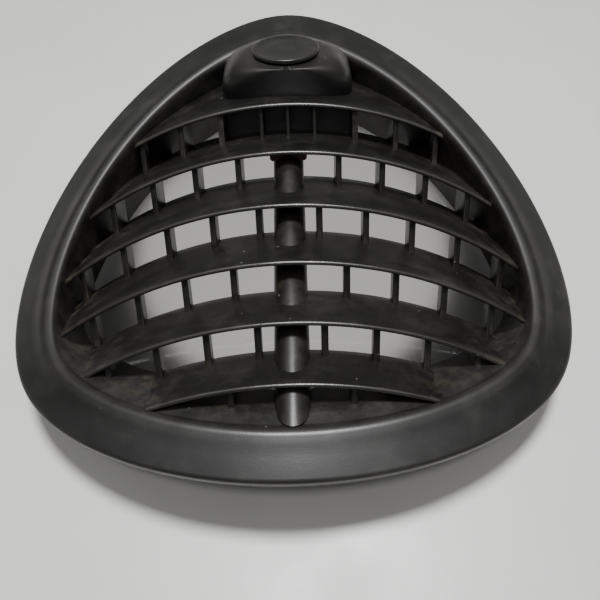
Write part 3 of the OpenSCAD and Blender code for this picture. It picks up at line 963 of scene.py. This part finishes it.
def plastic(name, base, finish, roughness, wear_and_highlight, grime, dust, grain, depth):
    """Moulded plastic: a grained base, worn edges lightened partly as a painted highlight, grime in
    the corners and a little dust.
    """
    n, shader, where = new_material(name)
    worn_and_highlit = placed_group(n, "Edge wear and painted highlight", Position=where, Mask=attribute(n, "wear_and_highlight"),
                        Amount=wear_and_highlight)["Worn"]
    dirty = placed_group(n, "Grime", Position=where, Mask=attribute(n, "grime"),
                         Amount=grime)["Dirty"]
    up = n.add("ShaderNodeSeparateXYZ")
    n.join(n.add("ShaderNodeNewGeometry").outputs["Normal"], up.inputs[0])
    upward = n.ramp(up.outputs["Z"], 0.1, 0.7)
    dusty = placed_group(n, "Dust", Position=where, Upward=upward, Amount=dust)["Dusty"]
    grained = placed_group(n, "Moulded grain", Position=where, Scale=grain, Worn=worn_and_highlit)
    tone = n.blend(n.ramp(n.noise(where, 38.0, 4.0, 0.6), 0.3, 0.75),
                   shaded(base, 0.82), shaded(base, 1.2))
    # The worn colour lightens the masked edges, partly as real wear and partly as a painted
    # highlight
    tone = n.blend(n.maths("MULTIPLY", worn_and_highlit, 0.8), tone, tuple(finish.worn_and_highlit))
    tone = n.blend(n.maths("MULTIPLY", dirty, 0.75), tone, tuple(finish.grime))
    tone = n.blend(dusty, tone, tuple(finish.dust))
    n.join(tone, shader["Base Color"])
    rough = n.maths("SUBTRACT", roughness, n.maths("MULTIPLY", worn_and_highlit, 0.14))
    rough = n.maths("ADD", rough, n.maths("MULTIPLY", n.maths("ADD", dirty, dusty), 0.3))
    rough = n.maths("ADD", rough, grained["Roughness"], clamp=True)
    n.join(rough, shader["Roughness"])
    shader["IOR"].default_value = 1.5
    bumped(n, shader, grained["Height"], depth)


def steel(name, finish):
    """Rolled spring steel: fine lines along the strip and a faint brown bloom."""
    n, shader, where = new_material(name)
    stretch = n.add("ShaderNodeMapping")
    stretch.inputs["Scale"].default_value = (1.0, 1.0, 0.04)
    n.join(where, stretch.inputs["Vector"])
    lines = n.noise(stretch.outputs["Vector"], 5200.0, 2.0, 0.5)
    bloom = n.ramp(n.noise(where, 240.0, 4.0, 0.7), 0.5, 0.75)
    tone = n.blend(lines, shaded(finish.steel, 0.75), tuple(finish.steel))
    n.join(n.blend(n.maths("MULTIPLY", bloom, 0.35), tone, tuple(finish.grime)),
           shader["Base Color"])
    n.join(n.maths("ADD", n.maths("MULTIPLY", lines, 0.18), 0.26), shader["Roughness"])
    shader["Metallic"].default_value = 1.0
    bumped(n, shader, lines, 0.00003)


def foam(name, finish):
    """Closed-cell foam: small round pores darkened as painted shade, larger hollows and a dusty
    skin.
    """
    n, shader, where = new_material(name)
    pores = n.add("ShaderNodeTexVoronoi", feature="F1")
    pores.inputs["Scale"].default_value = 1300.0
    n.join(where, pores.inputs["Vector"])
    pore_hollow_and_shade = n.ramp(pores.outputs["Distance"], 0.1, 0.55)
    # The pores are painted darker, as painted shade in the hollows; the same values also make the
    # bump
    tone = n.blend(pore_hollow_and_shade, shaded(finish.foam, 0.35), shaded(finish.foam, 1.3))
    n.join(tone, shader["Base Color"])
    shader["Roughness"].default_value = 0.95
    height = n.maths("ADD", pore_hollow_and_shade, n.noise(where, 500.0, 3.0, 0.6))
    bumped(n, shader, height, 0.0002)


def table_top(name, finish):
    """A pale laminate: a faint mottle and slightly uneven gloss."""
    n, shader, where = new_material(name)
    mottle = n.ramp(n.noise(where, 9.0, 5.0, 0.55), 0.35, 0.7)
    tone = n.blend(mottle, shaded(finish.table, 0.965), tuple(finish.table))
    n.join(tone, shader["Base Color"])
    n.join(n.ramp(n.noise(where, 30.0, 3.0, 0.5), 0.3, 0.7, 0.34, 0.44), shader["Roughness"])
    bumped(n, shader, n.noise(where, 900.0, 2.0, 0.5), 0.00002)


def build_materials(finish):
    """Every material: the grain is in cells per metre and the depth of its relief in metres."""
    build_groups()
    black = tuple(finish.black)
    plastic("Grained black plastic", black, finish, roughness=0.40, wear_and_highlight=finish.wear_and_highlight,
            grime=0.9, dust=finish.dustiness, grain=2900.0, depth=0.000022)
    # Inner pieces get the same black made darker, a painted shade inside the grille
    plastic("Inner black plastic with painted shade", shaded(black, 0.9), finish, roughness=0.33,
            wear_and_highlight=finish.wear_and_highlight * 0.8, grime=1.0, dust=finish.dustiness, grain=2900.0,
            depth=0.00002)
    plastic("Plain black plastic", black, finish, roughness=0.46, wear_and_highlight=0.3, grime=0.6,
            dust=0.1, grain=2300.0, depth=0.00005)
    plastic("Red-brown plastic", tuple(finish.clip), finish, roughness=0.42, wear_and_highlight=0.3,
            grime=0.7, dust=0.1, grain=2200.0, depth=0.00004)
    steel("Spring steel", finish)
    foam("Foam", finish)
    table_top("Pale table", finish)


# Operators ---------------------------------------------------------------------------------


class GRILLE_OT_materials(bpy.types.Operator):
    """Make the shared node groups and every material"""

    bl_idname = "grille.materials"
    bl_label = "Materials"

    def execute(self, context):
        build_materials(context.scene.grille_finish)
        return {"FINISHED"}


class GRILLE_OT_bezel(bpy.types.Operator):
    """Build the bezel: flange, crest and inner wall"""

    bl_idname = "grille.bezel"
    bl_label = "Bezel"

    def execute(self, context):
        make_piece("bezel_moulding", [bezel_part(Form(context.scene))], "outer", "bezel", sharp=50)
        return {"FINISHED"}


class GRILLE_OT_louvres(bpy.types.Operator):
    """Build the six bowed louvres"""

    bl_idname = "grille.louvres"
    bl_label = "Louvres"

    def execute(self, context):
        form = Form(context.scene)
        for i in range(1, LOUVRES + 1):
            make_piece(f"louvre_{i}_blade", [louvre_part(form, i)], "inner", f"louvre_{i}",
                       sharp=50)
        return {"FINISHED"}


class GRILLE_OT_webs(bpy.types.Operator):
    """Build the six staggered rows of webs"""

    bl_idname = "grille.webs"
    bl_label = "Webs"

    def execute(self, context):
        form = Form(context.scene)
        for r in range(1, LOUVRES + 1):
            make_piece(f"webs_{r}_plates", web_parts(form, r), "inner", f"webs_row_{r}")
        return {"FINISHED"}


class GRILLE_OT_spine(bpy.types.Operator):
    """Build the half-round spine and the saddle clipped over it"""

    bl_idname = "grille.spine"
    bl_label = "Spine and clip"

    def execute(self, context):
        form = Form(context.scene)
        make_piece("spine_moulding", [spine_part(form)], "inner", "spine")
        make_piece("spine_saddle", [clip_part(form)], "clip", "spine_clip")
        return {"FINISHED"}


class GRILLE_OT_boss(bpy.types.Operator):
    """Build the boss, the box below it and its ribs"""

    bl_idname = "grille.boss"
    bl_label = "Boss"

    def execute(self, context):
        form = Form(context.scene)
        make_piece("boss_shell", [boss_part(form)], "outer", "boss", sharp=50)
        make_piece("boss_box_wall", [box_part(form)], "boxed", "boss_box")
        make_piece("boss_rib_plates", rib_parts(form), "boxed", "boss_ribs")
        return {"FINISHED"}


class GRILLE_OT_cap(bpy.types.Operator):
    """Build the round cap that pulls out of the boss"""

    bl_idname = "grille.cap"
    bl_label = "Cap"

    def execute(self, context):
        make_piece("cap_moulding", [cap_part(Form(context.scene))], "outer", "cap_disc",
                   body=CAP_BODY)
        return {"FINISHED"}


class GRILLE_OT_fixings(bpy.types.Operator):
    """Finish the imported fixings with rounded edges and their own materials"""

    bl_idname = "grille.fixings"
    bl_label = "Fixings"

    # each fixing's finish, and the radius of its edges in millimetres
    fixings = {
        "cap_socket": ("plain", 0), "cap_stem": ("outer", 0), "mounting_legs": ("plain", 0.25),
        "locating_pins": ("plain", 0.3), "spring_clips": ("spring", 0.12),
        "sealing_strip": ("foam", 0.5),
    }
    weld_distance = 0.002 * MM
    bevel_from = math.radians(40)

    def execute(self, context):
        for name, (finish, radius) in self.fixings.items():
            material, slot = FINISHES[finish]
            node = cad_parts[name]
            node.data.materials.clear()
            node.data.materials.append(bpy.data.materials[material])
            weld = node.modifiers.new("Weld", "WELD")
            weld.merge_threshold = self.weld_distance
            if radius:
                bevel = node.modifiers.new("Rounding", "BEVEL")
                bevel.width = radius * MM
                bevel.segments = 2
                bevel.limit_method = "ANGLE"
                bevel.angle_limit = self.bevel_from
        return {"FINISHED"}


class GRILLE_OT_stage(bpy.types.Operator):
    """Make the table, the lights and the camera"""

    bl_idname = "grille.stage"
    bl_label = "Stage"

    def execute(self, context):
        scene = context.scene
        studio = scene.grille_studio
        side = 1.6
        corners = [(-side, -side, 0), (side, -side, 0), (side, side, 0), (-side, side, 0)]
        mesh = bpy.data.meshes.new("table_top")
        mesh.from_pydata(corners, [], [(0, 1, 2, 3)])
        mesh.materials.append(bpy.data.materials["Pale table"])
        table = bpy.data.objects.new("table_top", mesh)
        scene.collection.objects.link(table)

        # one light overhead, one over the front, and one just above the table that brightens
        # only what is seen between the louvres
        middle = (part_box("bezel")[0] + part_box("bezel")[1]) / 2
        for name, place, size, power, down in (
            ("key_light", (0.03, 0.08, 0.92), (0.16, 0.16), studio.key, False),
            ("front_light", (0.0, -0.28, 0.86), (0.10, 0.10), studio.front, False),
            ("light_through", (middle.x, middle.y + 0.008, 0.005), (0.128, 0.140),
             studio.through, True),
        ):
            lamp = bpy.data.lights.new(name, "AREA")
            lamp.shape = "ELLIPSE"
            lamp.size, lamp.size_y = size
            lamp.energy = power
            light = bpy.data.objects.new(name, lamp)
            light.location = place
            light.visible_camera = False
            if down:
                light.visible_glossy = False
            else:
                light.rotation_euler = (-Vector(place)).to_track_quat("-Z", "Y").to_euler()
            scene.collection.objects.link(light)

        world = bpy.data.worlds.new("Room")
        world.use_nodes = True
        n = Nodes(world.node_tree)
        background = world.node_tree.nodes["Background"]
        background.inputs["Color"].default_value = (0.98, 0.99, 1.0, 1)
        up = n.add("ShaderNodeSeparateXYZ")
        n.join(n.add("ShaderNodeTexCoord").outputs["Generated"], up.inputs[0])
        # reflections see dark walls and a pale ceiling, and the soft light is even
        ceiling = n.ramp(up.outputs["Z"], 0.45, 0.95, studio.walls, studio.sky)
        soft = n.add("ShaderNodeLightPath").outputs["Is Diffuse Ray"]
        n.join(n.blend_values(soft, ceiling, studio.fill), background.inputs["Strength"])
        scene.world = world

        lens = bpy.data.cameras.new("camera")
        lens.lens = studio.lens
        lens.sensor_width = 36.0
        lens.clip_start, lens.clip_end = 0.005, 20.0
        camera = bpy.data.objects.new("camera", lens)
        tilt = Matrix.Rotation(math.pi / 2 - studio.elevation, 4, "X")
        turn = Matrix.Rotation(studio.turn, 4, "Y")
        roll = Matrix.Rotation(studio.roll, 4, "Z")
        camera.matrix_world = (
            Matrix.Translation((studio.camera_x, -studio.camera_y, studio.camera_z))
            @ tilt @ turn @ roll
        )
        scene.collection.objects.link(camera)
        scene.camera = camera
        return {"FINISHED"}


class GRILLE_PT_panel(bpy.types.Panel):
    """The grille's steps and sizes"""

    bl_label = "Diffuser Grille"
    bl_space_type = "VIEW_3D"
    bl_region_type = "UI"
    bl_category = "Diffuser"

    def draw(self, context):
        for step in STEPS:
            self.layout.operator(step.bl_idname)
        for group in GROUPS:
            box = self.layout.box()
            box.label(text=group)
            settings = getattr(context.scene, group)
            for name in settings.__annotations__:
                box.prop(settings, name)


GROUPS = {
    "grille_bezel": BezelSizes,
    "grille_louvres": LouvreSizes,
    "grille_boss": BossSizes,
    "grille_finish": FinishColours,
    "grille_studio": StudioSizes,
}
STEPS = (
    GRILLE_OT_materials,
    GRILLE_OT_bezel,
    GRILLE_OT_louvres,
    GRILLE_OT_webs,
    GRILLE_OT_spine,
    GRILLE_OT_boss,
    GRILLE_OT_cap,
    GRILLE_OT_fixings,
    GRILLE_OT_stage,
)


def register():
    for cls in (*GROUPS.values(), *STEPS, GRILLE_PT_panel):
        bpy.utils.register_class(cls)
    for name, cls in GROUPS.items():
        setattr(bpy.types.Scene, name, PointerProperty(type=cls))


def unregister():
    for name in GROUPS:
        delattr(bpy.types.Scene, name)
    for cls in reversed((*GROUPS.values(), *STEPS, GRILLE_PT_panel)):
        bpy.utils.unregister_class(cls)


def main():
    register()
    for step in STEPS:
        group, name = step.bl_idname.split(".")
        getattr(getattr(bpy.ops, group), name)()


if __name__ == "__main__":
    main()
